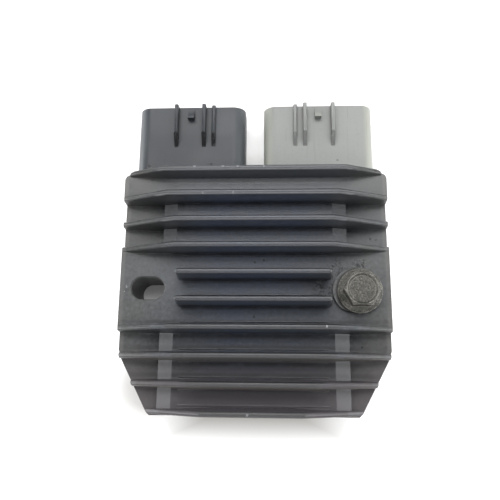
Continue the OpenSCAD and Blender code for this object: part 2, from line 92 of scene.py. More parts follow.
def toLinear(hexColor):
    # sRGB hex to the linear colour that shaders take
    parts = [int(hexColor[i:i + 2], 16) / 255 for i in (1, 3, 5)]
    return tuple([p / 12.92 if p <= 0.04045 else ((p + 0.055) / 1.055) ** 2.4 for p in parts] + [1.0])


def addNode(tree, kind, values=None, links=None, **settings):
    # one node with its settings, its socket values and the outputs that feed it
    node = tree.nodes.new(kind)
    for name, value in settings.items():
        setattr(node, name, value)
    for socket, value in (values or {}).items():
        node.inputs[socket].default_value = value
    for socket, source in (links or {}).items():
        tree.links.new(source, node.inputs[socket])
    return node


def noise(tree, place, scale, detail=3.0, roughness=0.55):
    return addNode(tree, "ShaderNodeTexNoise", {"Scale": scale, "Detail": detail, "Roughness": roughness},
                   {"Vector": place}).outputs["Fac"]


def ramp(tree, value, low, high, outLow=0.0, outHigh=1.0):
    # smooth step between two values
    node = addNode(tree, "ShaderNodeMapRange", {"From Min": low, "From Max": high, "To Min": outLow, "To Max": outHigh},
                   {"Value": value}, interpolation_type="SMOOTHSTEP")
    return node.outputs["Result"]


def compute(tree, operation, *values):
    node = addNode(tree, "ShaderNodeMath", operation=operation)
    for slot, value in enumerate(values):
        if isinstance(value, (int, float)):
            node.inputs[slot].default_value = value
        else:
            tree.links.new(value, node.inputs[slot])
    return node.outputs[0]


def mixColor(tree, amount, first, second, blend="MIX"):
    # colours as hex or as an output; the amount as a number or as an output
    node = addNode(tree, "ShaderNodeMix", data_type="RGBA", blend_type=blend)
    for slot, value in ((0, amount), (6, first), (7, second)):
        if isinstance(value, str):
            node.inputs[slot].default_value = toLinear(value)
        elif isinstance(value, (int, float)):
            node.inputs[slot].default_value = value
        else:
            tree.links.new(value, node.inputs[slot])
    return node.outputs[2]


def addBump(tree, height, distance, strength=1.0, normal=None):
    links = {"Height": height}
    if normal is not None:
        links["Normal"] = normal
    return addNode(tree, "ShaderNodeBump", {"Strength": strength, "Distance": distance}, links).outputs["Normal"]


def axes(tree, place):
    split = addNode(tree, "ShaderNodeSeparateXYZ", links={0: place})
    return split.outputs[0], split.outputs[1], split.outputs[2]


def startMaterial(name, **shaderValues):
    material = bpy.data.materials.new(name)
    material.use_nodes = True
    tree = material.node_tree
    shader = tree.nodes["Principled BSDF"]
    for socket, value in shaderValues.items():
        shader.inputs[socket].default_value = value
    place = addNode(tree, "ShaderNodeTexCoord").outputs["Object"]
    return material, tree, shader, place


def deselectAll():
    if bpy.context.mode != "OBJECT":
        bpy.ops.object.mode_set(mode="OBJECT")
    bpy.ops.object.select_all(action="DESELECT")


def setMaterial(piece, material):
    piece.data.materials.clear()
    piece.data.materials.append(material)


def addCamera():
    bpy.ops.object.camera_add(location=cameraSettings["place"],
                              rotation=[math.radians(a) for a in cameraSettings["turn"]])
    camera = bpy.context.active_object
    camera.name = "photoCamera"
    camera.data.sensor_width = 36
    camera.data.lens = cameraSettings["lens"]
    camera.data.clip_start = 0.01
    bpy.context.scene.camera = camera


def addLights():
    world = bpy.data.worlds.new("softStudio")
    bpy.context.scene.world = world
    world.use_nodes = True
    tree = world.node_tree
    background = tree.nodes["Background"]
    background.inputs["Color"].default_value = toLinear(lightSettings["worldColor"])
    # dim as a light, and white where the camera looks past the paper
    ray = addNode(tree, "ShaderNodeLightPath")
    tree.links.new(ramp(tree, ray.outputs["Is Camera Ray"], 0, 1, lightSettings["worldStrength"], 1.2),
                   background.inputs["Strength"])
    for name, (place, size, power) in lightSettings["lamps"].items():
        bpy.ops.object.light_add(type="AREA", location=place)
        lamp = bpy.context.active_object
        lamp.name = name
        lamp.rotation_euler = Vector(place).to_track_quat("Z", "Y").to_euler()
        lamp.data.shape = "RECTANGLE"
        lamp.data.size, lamp.data.size_y = size
        lamp.data.energy = power


def addFloor():
    bpy.ops.mesh.primitive_plane_add(size=lightSettings["floorSize"], location=(0, 0, floorZ))
    floor = bpy.context.active_object
    floor.name = "studioFloor"
    # matt white paper, whose glow keeps the background white and lights the part's walls a little
    material = bpy.data.materials.new("whitePaper")
    material.use_nodes = True
    tree = material.node_tree
    tree.nodes.clear()
    paper = addNode(tree, "ShaderNodeBsdfDiffuse")
    ray = addNode(tree, "ShaderNodeLightPath")
    seen = addNode(tree, "ShaderNodeMath", links={0: ray.outputs["Is Camera Ray"], 1: ray.outputs["Is Glossy Ray"]},
                   operation="MAXIMUM")
    seen = addNode(tree, "ShaderNodeMath", links={0: seen.outputs[0], 1: ray.outputs["Is Transmission Ray"]},
                   operation="MAXIMUM")
    bounced = compute(tree, "MULTIPLY", ray.outputs["Is Diffuse Ray"], lightSettings["bounce"])
    seen = addNode(tree, "ShaderNodeMath", links={0: seen.outputs[0], 1: bounced}, operation="MAXIMUM")
    # painted shadow: the glow dies away and the paper darkens under the part and beside its ends, where the paper lies
    # in its shadow
    x, y, z = axes(tree, addNode(tree, "ShaderNodeTexCoord").outputs["Object"])
    y = compute(tree, "SUBTRACT", y, castingY)
    aside = compute(tree, "ABSOLUTE", x)
    halfX, halfY = castingHigh.x, castingHigh.y - castingY
    fullWidth, goneWidth, belowReach = lightSettings["shadowBelow"]
    below = compute(tree, "MAXIMUM", ramp(tree, y, -halfY, -halfY - belowReach),
                    ramp(tree, aside, fullWidth, goneWidth))
    fadeStart, fadeEnd = lightSettings["shadowAbove"]
    above = ramp(tree, y, halfY + fadeStart, halfY + fadeEnd, 0.47, 0.8)
    upper = compute(tree, "GREATER_THAN", y, halfY)
    beside = compute(tree, "GREATER_THAN", aside, halfX)
    lowGlow, highGlow = reversed(lightSettings["underGlow"])
    under = ramp(tree, y, -5 * mm, 3 * mm, lowGlow, highGlow)
    # four regions: under the part, beyond its upper edge, at its sides, and below it
    inner = compute(tree, "LESS_THAN", aside, halfX)
    middle = compute(tree, "MULTIPLY", compute(tree, "LESS_THAN", y, halfY),
                     compute(tree, "GREATER_THAN", y, -0.4 * halfY))
    share = addNode(tree, "ShaderNodeMix", links={0: upper, 2: below, 3: above}).outputs[0]
    share = compute(tree, "MAXIMUM", share, beside)
    cornerX, cornerY, cornerFull, cornerEnd = lightSettings["shadowCorner"]
    corner = addNode(tree, "ShaderNodeCombineXYZ", links={"X": x, "Y": y})
    corner = addNode(tree, "ShaderNodeVectorMath", {1: (cornerX, cornerY, 0.0)}, {0: corner.outputs[0]},
                     operation="DISTANCE").outputs["Value"]
    share = compute(tree, "MINIMUM", share, ramp(tree, corner, cornerFull, cornerEnd, 0.3, 1.0))
    share = addNode(tree, "ShaderNodeMix", links={0: compute(tree, "MULTIPLY", middle, inner), 2: share, 3: under})
    tree.links.new(mixColor(tree, share.outputs[0], lightSettings["shadeColor"], lightSettings["floorColor"]),
                   paper.inputs["Color"])
    # far off, where the lamps don't reach, the glow alone keeps the paper white up to the horizon
    away = addNode(tree, "ShaderNodeVectorMath", links={0: addNode(tree, "ShaderNodeTexCoord").outputs["Object"]},
                   operation="LENGTH").outputs["Value"]
    farStart, farEnd, farGlow = lightSettings["farGlow"]
    share = compute(tree, "MULTIPLY", share.outputs[0], ramp(tree, away, farStart, farEnd, 1.0, farGlow))
    strength = compute(tree, "MULTIPLY", compute(tree, "MULTIPLY", seen.outputs[0], lightSettings["floorGlow"]), share)
    glow = addNode(tree, "ShaderNodeEmission", links={"Strength": strength})
    both = addNode(tree, "ShaderNodeAddShader", links={0: paper.outputs[0], 1: glow.outputs[0]})
    # clear from below, so that the part's back can be looked at
    clear = addNode(tree, "ShaderNodeBsdfTransparent")
    below = addNode(tree, "ShaderNodeNewGeometry").outputs["Backfacing"]
    both = addNode(tree, "ShaderNodeMixShader", links={0: below, 1: both.outputs[0], 2: clear.outputs[0]})
    addNode(tree, "ShaderNodeOutputMaterial", links={"Surface": both.outputs[0]})
    setMaterial(floor, material)


addCamera()
addLights()
addFloor()
bpy.context.scene.view_settings.view_transform = "Standard"
print("camera, lights and floor placed")

# the casting

castingSettings = {
    "bevel": 0.35 * mm,
    "bevelAngle": 32,  # degrees; only edges sharper than this are rounded
    "paint": "#3a3d42",
    # painted reflection: bluish and darker toward the middle of the casting, greyer toward its edges
    "paintMiddleReflection": "#343b4a",  # toward the middle of the casting
    "paintEdgeReflection": "#3d3e3d",  # toward its edges
    "lowTint": "#3d3739",  # toward the lower edge, where the gloss is duller too
    # painted light, on the lower fins' walls that face the lower edge
    "lowWallLight": "#625e5a",  # on the lower fins' walls
    # dark grime in the mottling, and painted shade at the upper left
    "grimeAndShade": "#22211e",
    "bareMetal": "#77787a",
    "roughness": 0.4,
    "grit": "#74746d",
    # places of small chips down to the metal, and of dark pits, with their radius: x, y, z and radius in mm,
    # from the middle of the casting's back
    "chips": [
        (-22.3, 45.1, 28.8, 0.42), (-11.6, 45.1, 28.8, 0.4), (-6.0, 45.1, 28.8, 0.4), (3.8, 45.1, 28.8, 0.34),
        (-18.7, 34.2, 29.6, 0.34), (-7.5, 34.1, 29.6, 0.38), (25.9, -14.7, 29.8, 0.36), (-1.6, -44.7, 30.0, 0.34),
        (28.4, -44.4, 29.3, 0.5), (24.7, -44.6, 29.9, 0.4),
        (-48.0, 1.1, 20.2, 0.12), (-47.9, 0.4, 20.2, 0.14), (-48.5, -1.3, 20.2, 0.06), (-45.4, 3.4, 20.0, 0.06),
    ],
    # where dark and pale grit has gathered, beside and above the bolt
    "gritPlaces": [(31.4, 6.6, 20.2, 5.4), (26.4, -0.2, 20.2, 5.4), (39.2, 9.0, 20.2, 3.4), (31.5, -3.0, 20.2, 5.5)],
    # painted shade in the corners between the fins and the floors: its colour, the distance from a fin's middle
    # where it is full and where it ends, and half the length of the two short fins
    "corners": ("#121315", 2.3 * mm, 3.6 * mm, 26.5 * mm),
    "finPitch": 9.9 * mm,
    "crest": "#353536",
    "lipLight": "#575757",
    # colour of the painted light under the first fin and on the first two fins' lower edges
    "dust": "#6d6e70",
    # painted sheen, on roundings and walls that face sideways
    "sideSheen": "#5c5b58",  # on roundings and walls that face sideways
    "pits": [
        (19.6, 42.0, 22.4, 0.25), (20.2, 40.7, 22.4, 0.15), (21.7, 40.3, 22.4, 0.3), (33.4, 37.8, 22.4, 0.25),
        (0.4, 10.0, 20.2, 0.3), (3.8, 10.7, 20.2, 0.25), (0.2, -10.6, 20.2, 0.35), (0.2, -12.8, 20.2, 0.35),
        (11.9, -12.8, 20.2, 0.2), (16.3, -12.0, 20.2, 0.2), (40.6, 8.4, 20.2, 0.3), (44.2, 19.6, 16.6, 0.3),
        (46.4, 19.2, 16.6, 0.2), (39.7, -21.3, 16.6, 0.35), (-35.4, -26.8, 16.6, 0.2), (-12.5, -22.3, 20.2, 0.2),
    ],
}


def roundedCopy(nodeName, pieceName, width, angle, segments=2, reshape=None):
    # a merged copy of a CAD node with its sharp edges rounded, which stands for that node
    deselectAll()
    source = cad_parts[nodeName]
    source.select_set(True)
    bpy.context.view_layer.objects.active = source
    bpy.ops.object.duplicate()
    piece = bpy.context.active_object
    piece.name = pieceName
    piece.parent = None
    for key in list(piece.keys()):
        del piece[key]
    bpy.ops.object.mode_set(mode="EDIT")
    bpy.ops.mesh.select_all(action="SELECT")
    bpy.ops.mesh.remove_doubles(threshold=0.002 * mm)
    bpy.ops.mesh.dissolve_limited(angle_limit=math.radians(0.5))
    bpy.ops.object.mode_set(mode="OBJECT")
    if reshape is not None:
        reshape(piece.data)
    bevel = piece.modifiers.new("roundEdges", "BEVEL")
    bevel.width = width
    bevel.segments = segments
    bevel.limit_method = "ANGLE"
    bevel.angle_limit = math.radians(angle)
    bevel.use_clamp_overlap = True
    bevel.harden_normals = False
    bpy.ops.object.modifier_apply(modifier=bevel.name)
    bpy.ops.object.shade_smooth_by_angle(angle=math.radians(24))
    # the shallow bend where a ramp meets its floor stays a crisp line
    mesh = bmesh.new()
    mesh.from_mesh(piece.data)
    for edge in mesh.edges:
        if len(edge.link_faces) == 2 and 14 < math.degrees(edge.calc_face_angle(0)) < 20:
            edge.smooth = False
    mesh.to_mesh(piece.data)
    mesh.free()
    # large flat faces keep their own normal, so that the roundings between them don't shade them
    even = piece.modifiers.new("evenNormals", "WEIGHTED_NORMAL")
    even.keep_sharp = True
    bpy.ops.object.modifier_apply(modifier=even.name)
    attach(piece, body)
    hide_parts(nodeName)
    return piece


def distanceTo(tree, place, x, y, z):
    # distance in metres to a point given in mm from the middle of the casting's back
    point = (x * mm, castingY + y * mm, floorZ + z * mm)
    node = addNode(tree, "ShaderNodeVectorMath", {1: point}, {0: place}, operation="DISTANCE")
    return node.outputs["Value"]


def spots(tree, place, places, edge):
    # 1 inside any of the small ragged spots, 0 elsewhere
    scaled = addNode(tree, "ShaderNodeVectorMath", {1: (0.9 * mm,) * 3},
                     {0: addNode(tree, "ShaderNodeTexNoise", {"Scale": 1500.0, "Detail": 2.0},
                                 {"Vector": place}).outputs["Color"]}, operation="MULTIPLY")
    shifted = addNode(tree, "ShaderNodeVectorMath", links={0: place, 1: scaled.outputs[0]}, operation="ADD")
    moved = addNode(tree, "ShaderNodeVectorMath", {1: (0.45 * mm,) * 3}, {0: shifted.outputs[0]},
                    operation="SUBTRACT").outputs[0]
    total = None
    for x, y, z, radius in places:
        spot = ramp(tree, distanceTo(tree, moved, x, y, z), (radius + edge) * mm, radius * mm)
        total = spot if total is None else compute(tree, "MAXIMUM", total, spot)
    return total


def castingPaint():
    # satin black enamel on the die casting: a painted reflection makes it bluish and darker in the middle and greyer at
    # the edges; painted light and shade on its walls, edges and corners; chips down to bright metal on the fins' tips,
    # dark pits, and grit round the bolt
    use = castingSettings
    material, tree, shader, place = startMaterial("satinBlackEnamelOnDieCasting", Roughness=use["roughness"])
    x, y, z = axes(tree, place)
    # painted reflection: greyer toward the sides and the upper edge, bluish and darker in the middle
    side = ramp(tree, compute(tree, "ABSOLUTE", x), 10 * mm, 44 * mm)
    side = compute(tree, "MAXIMUM", side, ramp(tree, y, castingY + 32 * mm, castingY + 45 * mm, 0.0, 0.75))
    cloud = noise(tree, place, 45.0, 4.0)
    color = mixColor(tree, side, use["paintMiddleReflection"], use["paintEdgeReflection"])
    color = mixColor(tree, ramp(tree, cloud, 0.35, 0.7, 0.0, 0.6), color, use["paint"])
    # fine mottling of old paint
    mottle = noise(tree, place, 700.0, 4.0, 0.65)
    color = mixColor(tree, ramp(tree, mottle, 0.5, 0.72, 0.0, 0.35), color, "#55585b")
    color = mixColor(tree, ramp(tree, mottle, 0.5, 0.3, 0.0, 0.45), color, use["grimeAndShade"])
    # warmer and duller toward the lower edge, with painted light on the walls of the lowest fins
    upY = compute(tree, "SUBTRACT", y, castingY)
    low = ramp(tree, upY, -14 * mm, -40 * mm)
    color = mixColor(tree, compute(tree, "MULTIPLY", low, 0.75), color, use["lowTint"])
    # painted shade: darker at the upper left
    upperLeftShade = compute(tree, "MULTIPLY", ramp(tree, x, -20 * mm, -34 * mm), ramp(tree, upY, 6 * mm, 16 * mm))
    color = mixColor(tree, compute(tree, "MULTIPLY", upperLeftShade, 0.3), color, use["grimeAndShade"])
    facing = axes(tree, addNode(tree, "ShaderNodeNewGeometry").outputs["Normal"])
    # painted sheen: walls and roundings that face sideways are lighter, except in the slot and low down
    edge = ramp(tree, compute(tree, "ABSOLUTE", facing[0]), 0.6, 0.9)
    inSlot = ramp(tree, distanceTo(tree, place, -39.9, 0.0, 18.0), 8.2 * mm, 7.6 * mm)
    edge = compute(tree, "MULTIPLY", edge, compute(tree, "SUBTRACT", 1.0, inSlot))
    edge = compute(tree, "MULTIPLY", edge, ramp(tree, z, floorZ + 11 * mm, floorZ + 19 * mm))
    color = mixColor(tree, compute(tree, "MULTIPLY", edge, 0.7), color, use["sideSheen"])
    # painted shade in the corners along the fins, thinning out up their sides
    paintedShadeColor, shadeFull, shadeEnd, shortHalf = use["corners"]
    half = use["finPitch"] / 2
    fromFin = compute(tree, "SUBTRACT", half, compute(tree, "PINGPONG", upY, half))
    # wider in the two gaps above the last one, thinner in the last one, and none along the first and the last fin
    wide = compute(tree, "MULTIPLY", ramp(tree, upY, -10 * mm, -20 * mm), ramp(tree, upY, -35.5 * mm, -34 * mm))
    fromFin = compute(tree, "MULTIPLY", fromFin, ramp(tree, wide, 0.0, 1.0, 1.0, 0.8))
    corner = ramp(tree, fromFin, shadeEnd, shadeFull)
    # on the floors and the fins' sides, and not on the sloped ends of the crests
    offCrest = compute(tree, "MAXIMUM", ramp(tree, fromFin, 1.6 * mm, 2.0 * mm), ramp(tree, facing[2], 0.5, 0.25))
    corner = compute(tree, "MULTIPLY", corner, offCrest)
    # none above the upper fins, and less of it toward the casting's sides
    above = compute(tree, "GREATER_THAN", compute(tree, "FLOORED_MODULO", upY, use["finPitch"]), half)
    above = compute(tree, "MULTIPLY", above, compute(tree, "GREATER_THAN", upY, use["finPitch"]))
    corner = compute(tree, "MULTIPLY", corner, compute(tree, "SUBTRACT", 1.0, above))
    corner = compute(tree, "MULTIPLY", corner, ramp(tree, compute(tree, "ABSOLUTE", x), 48 * mm, 30 * mm, 0.3, 1.0))
    inner = compute(tree, "LESS_THAN", compute(tree, "ABSOLUTE", upY), 8 * half)
    corner = compute(tree, "MULTIPLY", compute(tree, "MULTIPLY", corner, inner),
                     ramp(tree, upY, -36 * mm, -34 * mm, 0.5, 1.0))
    corner = compute(tree, "MULTIPLY", corner, ramp(tree, z, floorZ + 25 * mm, floorZ + 21 * mm))
    besideShort = compute(tree, "MULTIPLY", ramp(tree, compute(tree, "ABSOLUTE", x), shortHalf - 0.5 * mm, shortHalf + mm),
                          compute(tree, "LESS_THAN", compute(tree, "ABSOLUTE", upY), 2 * half))
    corner = compute(tree, "MULTIPLY", corner, compute(tree, "SUBTRACT", 1.0, besideShort))
    thick = ramp(tree, noise(tree, place, 180.0, 3.0), 0.25, 0.6, 0.5, 0.8)
    color = mixColor(tree, compute(tree, "MULTIPLY", corner, thick), color, paintedShadeColor)
    # the fins' crests are darker and a neutral grey, and painted shade lies on their upper shoulders
    crest = ramp(tree, z, floorZ + 28.6 * mm, floorZ + 29.4 * mm)
    crest = compute(tree, "MULTIPLY", crest, ramp(tree, upY, 14 * mm, -24 * mm, 0.5, 0.9))
    color = mixColor(tree, crest, color, use["crest"])
    shoulderShade = compute(tree, "MULTIPLY", ramp(tree, facing[1], 0.25, 0.6), inner)
    shoulderShade = compute(tree, "MULTIPLY", shoulderShade, ramp(tree, z, floorZ + 27 * mm, floorZ + 28.5 * mm))
    color = mixColor(tree, compute(tree, "MULTIPLY", shoulderShade, 0.75), color, paintedShadeColor)
    # painted highlight: the ramps down to the pockets are a little lighter
    slope = compute(tree, "MULTIPLY", ramp(tree, compute(tree, "ABSOLUTE", facing[0]), 0.12, 0.22),
                    ramp(tree, facing[2], 0.6, 0.75))
    slope = compute(tree, "MULTIPLY", slope, ramp(tree, z, floorZ + 20.25 * mm, floorZ + 20.1 * mm))
    color = mixColor(tree, compute(tree, "MULTIPLY", slope, 0.25), color, "#5e6063")
    # painted light on the floor under the first fin, where its shadow falls, and on the lower rounding of the first two
    # fins
    dust = compute(tree, "MULTIPLY", ramp(tree, upY, 40.0 * mm, 40.8 * mm), ramp(tree, upY, 42.9 * mm, 42.2 * mm))
    dust = compute(tree, "MULTIPLY", dust, ramp(tree, facing[2], 0.8, 0.95))
    dust = compute(tree, "MULTIPLY", dust, ramp(tree, compute(tree, "ABSOLUTE", x), 40 * mm, 28 * mm))
    color = mixColor(tree, compute(tree, "MULTIPLY", dust, 0.5), color, use["dust"])
    paintedLight = compute(tree, "MULTIPLY", ramp(tree, facing[1], -0.2, -0.5), ramp(tree, facing[2], 0.1, 0.3))
    paintedLight = compute(tree, "MULTIPLY", paintedLight, ramp(tree, z, floorZ + 27.2 * mm, floorZ + 27.8 * mm))
    paintedLight = compute(tree, "MULTIPLY", paintedLight, ramp(tree, upY, 8 * mm, 32 * mm, 0.1, 0.65))
    color = mixColor(tree, paintedLight, color, use["dust"])
    # painted highlight: the casting's outer edges are lighter
    outer = compute(tree, "MULTIPLY", ramp(tree, compute(tree, "ABSOLUTE", x), 48.4 * mm, 49.3 * mm),
                    ramp(tree, upY, -28 * mm, -22 * mm))
    color = mixColor(tree, compute(tree, "MULTIPLY", outer, 0.35), color, use["sideSheen"])
    # painted light: the lip of the slot is paler
    lip = compute(tree, "MULTIPLY", inSlot, ramp(tree, z, floorZ + 19.1 * mm, floorZ + 19.5 * mm))
    lip = compute(tree, "MULTIPLY", lip, ramp(tree, facing[2], 0.97, 0.8))
    color = mixColor(tree, compute(tree, "MULTIPLY", lip, 0.85), color, use["lipLight"])
    # painted light: the walls of the lowest fins that face the lower edge are lighter
    wall = ramp(tree, facing[1], -0.6, -0.95)
    litWallMask = compute(tree, "MULTIPLY", wall, ramp(tree, upY, -20 * mm, -30 * mm))
    litWallMask = compute(tree, "MULTIPLY", litWallMask, ramp(tree, z, floorZ + 12 * mm, floorZ + 18 * mm))
    color = mixColor(tree, compute(tree, "MULTIPLY", litWallMask, 0.85), color, use["lowWallLight"])
    # dark and pale grit round the bolt, in specks
    near = None
    for spotX, spotY, spotZ, radius in use["gritPlaces"]:
        spot = ramp(tree, distanceTo(tree, place, spotX, spotY, spotZ), radius * mm, 0.45 * radius * mm)
        near = spot if near is None else compute(tree, "MAXIMUM", near, spot)
    grit = noise(tree, place, 1100.0, 2.0, 0.7)
    patches = ramp(tree, noise(tree, place, 300.0, 3.0), 0.3, 0.48)
    near = compute(tree, "MULTIPLY", near, patches)
    darkGrit = compute(tree, "MULTIPLY", near, ramp(tree, grit, 0.5, 0.43))
    gritMask = compute(tree, "MULTIPLY", near, ramp(tree, grit, 0.57, 0.64))
    color = mixColor(tree, compute(tree, "MULTIPLY", darkGrit, 0.85), color, "#161618")
    color = mixColor(tree, compute(tree, "MULTIPLY", gritMask, 0.5), color, use["grit"])
    chipMask = spots(tree, place, use["chips"], 0.25)
    pitMask = spots(tree, place, use["pits"], 0.25)
    color = mixColor(tree, pitMask, color, "#141415")
    color = mixColor(tree, compute(tree, "MULTIPLY", chipMask, 0.8), color, use["bareMetal"])
    tree.links.new(color, shader.inputs["Base Color"])
    # the gloss is broken by dust: rougher where the mottling is light
    rough = compute(tree, "ADD", use["roughness"], ramp(tree, mottle, 0.35, 0.75, -0.04, 0.12))
    rough = compute(tree, "ADD", rough, compute(tree, "MULTIPLY", compute(tree, "ADD", gritMask, darkGrit), 0.25))
    rough = compute(tree, "ADD", rough, compute(tree, "MULTIPLY", low, 0.1))
    tree.links.new(rough, shader.inputs["Roughness"])
    peel = noise(tree, place, 420.0, 2.0)
    normal = addBump(tree, peel, 0.05 * mm, 0.5)
    normal = addBump(tree, mottle, 0.02 * mm, 0.6, normal)
    normal = addBump(tree, gritMask, 0.12 * mm, 0.8, normal)
    dents = compute(tree, "ADD", compute(tree, "MULTIPLY", chipMask, -1.0), compute(tree, "MULTIPLY", pitMask, -1.0))
    normal = addBump(tree, dents, 0.1 * mm, 0.7, normal)
    tree.links.new(normal, shader.inputs["Normal"])
    return material


def widenSlotRim(mesh):
    # the narrow chamfer at the slot's mouth becomes a wide one, which the bevel then rounds
    moved = 0
    for vertex in mesh.vertices:
        y, z = (vertex.co.y - castingY) / mm, (vertex.co.z - floorZ) / mm
        nearest = min(max(vertex.co.x / mm, slotSettings["left"]), slotSettings["right"])
        aside = vertex.co.x / mm - nearest
        reach = math.hypot(aside, y)
        if reach > slotSettings["radius"] + 0.6 or z < slotSettings["top"] - 0.5:
            continue
        if z > slotSettings["top"] - 0.1:
            grown = (slotSettings["radius"] + slotSettings["grown"]) / reach
            vertex.co.x = (nearest + aside * grown) * mm
            vertex.co.y = castingY + y * grown * mm
        else:
            vertex.co.z = floorZ + (slotSettings["top"] - slotSettings["deep"]) * mm
        moved += 1
    print("vertices of the slot's rim moved:", moved)


# the slot in the casting, in mm from the middle of the casting's back
slotSettings = {"left": -42.0, "right": -37.8, "radius": 4.15, "top": 20.2, "grown": 0.45, "deep": 0.75}
casting = roundedCopy("heat_sink", "casting", castingSettings["bevel"], castingSettings["bevelAngle"],
                      reshape=widenSlotRim)
setMaterial(casting, castingPaint())
print("casting made:", len(casting.data.polygons), "faces")

# the two plug sockets

socketSettings = {
    "bevel": 0.28 * mm,
    "bevelAngle": 35,
    "dcColor": "#2c2f33",
    "acColor": "#757775",
    "roughness": 0.44,
    "gloss": 0.34,
    "grit": "#8a8a86",
    # painted sheen, on the roundings along the sides and on the latch wedge
    "dcSideSheen": "#4a4d50",  # on the roundings along the sides
    "acSideSheen": "#8a8c85",
    "dcPits": [(-17.4, 50.2, 17.2, 0.35), (-42.4, 49.8, 17.2, 0.35)],
    "acPits": [(32.5, 51.6, 17.2, 0.3)],
}


def nylon(name, hexColor, darker, lighter, wearAndSheen, lighterRange, pits, pitDepth, ribShade):
    # glass-filled nylon: even colour with a fine grain, a soft sheen, grit along its foot, and painted light and shade
    # on its roundings, ribs and latch wedge
    use = socketSettings
    material, tree, shader, place = startMaterial(name, **{"Specular IOR Level": use["gloss"]})
    cloud = noise(tree, place, 60.0, 4.0)
    grain = noise(tree, place, 1300.0, 3.0, 0.65)
    x, y, z = axes(tree, place)
    color = mixColor(tree, ramp(tree, cloud, 0.35, 0.7, 0.0, 0.5), hexColor, lighter)
    # lighter toward the right-hand side
    color = mixColor(tree, ramp(tree, x, *lighterRange, 0.0, 0.8), color, lighter)
    color = mixColor(tree, ramp(tree, grain, 0.5, 0.3, 0.0, 0.15), color, darker)
    # pale grit caught along the foot of the socket, where it meets the casting
    foot = ramp(tree, y, castingHigh.y + 7 * mm, castingHigh.y + 0.5 * mm)
    grit = ramp(tree, noise(tree, place, 1400.0, 2.0, 0.6), 0.6, 0.66)
    gritMask = compute(tree, "MULTIPLY", compute(tree, "MULTIPLY", foot, foot), grit)
    color = mixColor(tree, compute(tree, "MULTIPLY", gritMask, 0.6), color, use["grit"])
    # painted sheen: lighter on the roundings along the sides
    facing = axes(tree, addNode(tree, "ShaderNodeNewGeometry").outputs["Normal"])
    side = ramp(tree, compute(tree, "ABSOLUTE", facing[0]), 0.12, 0.6)
    flank = ramp(tree, z, floorZ + 17.25 * mm, floorZ + 17.05 * mm)
    color = mixColor(tree, compute(tree, "MULTIPLY", side, flank), color, wearAndSheen)
    # painted shade on the ribs' walls, and darker painted shade on the slopes at their lower ends
    ribWallShade = compute(tree, "MULTIPLY", ramp(tree, compute(tree, "ABSOLUTE", facing[0]), 0.6, 0.9),
                      ramp(tree, z, floorZ + 17.1 * mm, floorZ + 17.4 * mm))
    color = mixColor(tree, compute(tree, "MULTIPLY", ribWallShade, 0.5), color, "#2b2b29")
    slope = compute(tree, "MULTIPLY", ramp(tree, compute(tree, "SUBTRACT", y, castingY), 63.2 * mm, 62.6 * mm),
                    ramp(tree, z, floorZ + 17.15 * mm, floorZ + 17.6 * mm))
    slope = compute(tree, "MULTIPLY", slope, ramp(tree, noise(tree, place, 900.0, 3.0), 0.3, 0.42))
    color = mixColor(tree, compute(tree, "MULTIPLY", slope, ribShade), color, "#08080a")
    # painted reflection: the latch wedge is lighter
    paintedLight = compute(tree, "MULTIPLY", ramp(tree, facing[1], 0.3, 0.45), ramp(tree, facing[1], 0.6, 0.5))
    paintedLight = compute(tree, "MULTIPLY", paintedLight, ramp(tree, z, floorZ + 17.2 * mm, floorZ + 17.5 * mm))
    color = mixColor(tree, compute(tree, "MULTIPLY", paintedLight, 0.8), color, wearAndSheen)
    # faint scrapes along the socket
    drawn = addNode(tree, "ShaderNodeMapping", {"Scale": (1.0, 0.04, 1.0)}, {"Vector": place}).outputs[0]
    scrape = ramp(tree, noise(tree, drawn, 700.0, 3.0, 0.6), 0.58, 0.72)
    color = mixColor(tree, compute(tree, "MULTIPLY", scrape, 0.3), color, darker)
    pitMask = spots(tree, place, pits, 0.2)
    color = mixColor(tree, compute(tree, "MULTIPLY", pitMask, pitDepth), color, "#1a1a1a")
    tree.links.new(color, shader.inputs["Base Color"])
    rough = compute(tree, "ADD", use["roughness"], ramp(tree, cloud, 0.3, 0.7, -0.03, 0.06))
    rough = compute(tree, "ADD", rough, compute(tree, "MULTIPLY", slope, 0.4 * ribShade))
    tree.links.new(rough, shader.inputs["Roughness"])
    normal = addBump(tree, grain, 0.006 * mm, 0.6)
    normal = addBump(tree, compute(tree, "MULTIPLY", pitMask, -1.0), 0.1 * mm, 0.7, normal)
    tree.links.new(normal, shader.inputs["Normal"])
    return material


dcSocket = roundedCopy("dc_socket", "dcSocketHousing", socketSettings["bevel"], socketSettings["bevelAngle"])
setMaterial(dcSocket, nylon("blackNylon", socketSettings["dcColor"], "#1d1e20", "#34373b", socketSettings["dcSideSheen"],
                            (-26 * mm, -13 * mm), socketSettings["dcPits"], 1.0, 1.0))
acSocket = roundedCopy("ac_socket", "acSocketHousing", socketSettings["bevel"], socketSettings["bevelAngle"])
setMaterial(acSocket, nylon("greyNylon", socketSettings["acColor"], "#5c5d59", "#7e807d", socketSettings["acSideSheen"],
                            (25 * mm, 42 * mm), socketSettings["acPits"], 0.45, 0.4))
print("sockets made")

# the blades

bladeSettings = {"bevel": 0.12 * mm, "color": "#c9c7bf", "roughness": 0.32}


